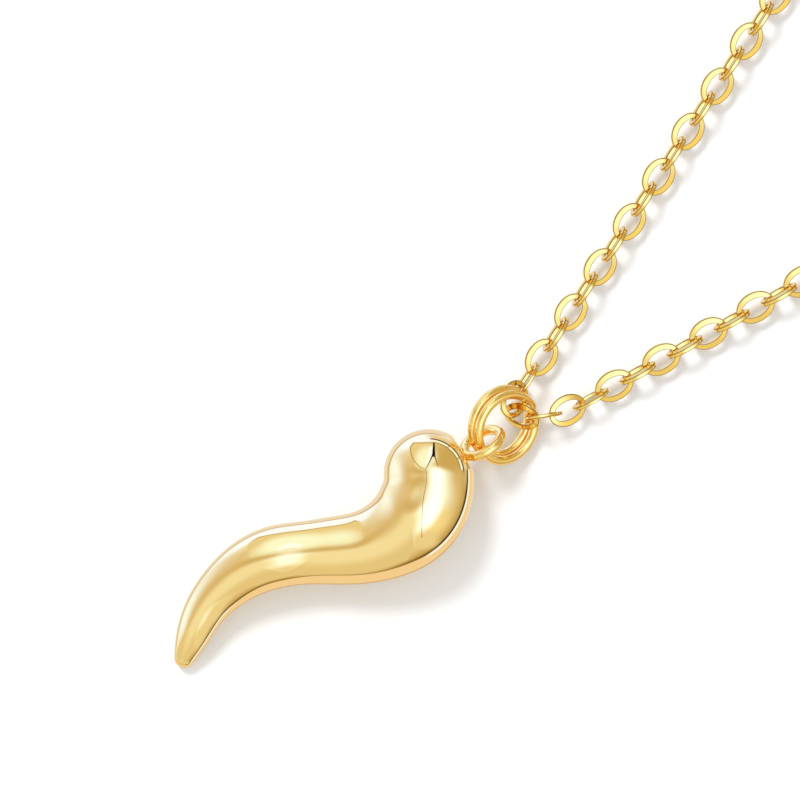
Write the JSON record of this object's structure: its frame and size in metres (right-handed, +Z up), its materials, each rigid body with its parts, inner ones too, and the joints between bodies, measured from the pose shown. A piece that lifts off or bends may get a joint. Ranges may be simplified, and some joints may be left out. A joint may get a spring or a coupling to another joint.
{
  "type": "horn charm pendant on a cable chain",
  "caption": "Curved tapering horn charm hung by a soldered eye from a split ring on a fine closed cable chain, lying flat with its necklace spread out in a loop.",
  "frame": {"origin": "middle of the bounding box on the surface that the piece lies on", "axes": "+X runs from the horn's tip to the clasp along the middle of the necklace, +Y towards the upper strand as seen from above with +X to the right, +Z up from the surface"},
  "size_m": [0.226, 0.0798, 0.0062],
  "materials": {
    "polished_gold": "mirror-polished pale gold",
    "ring_gold": "polished drawn gold wire",
    "chain_gold": "polished gold links with soft edges",
    "clasp_gold": "polished cast gold"
  },
  "bodies": {
    "root": {"horn": "polished_gold", "split_ring": "ring_gold", "chain_upper": "chain_gold", "chain_lower": "chain_gold", "clasp": "clasp_gold"}
  },
  "joints": []
}
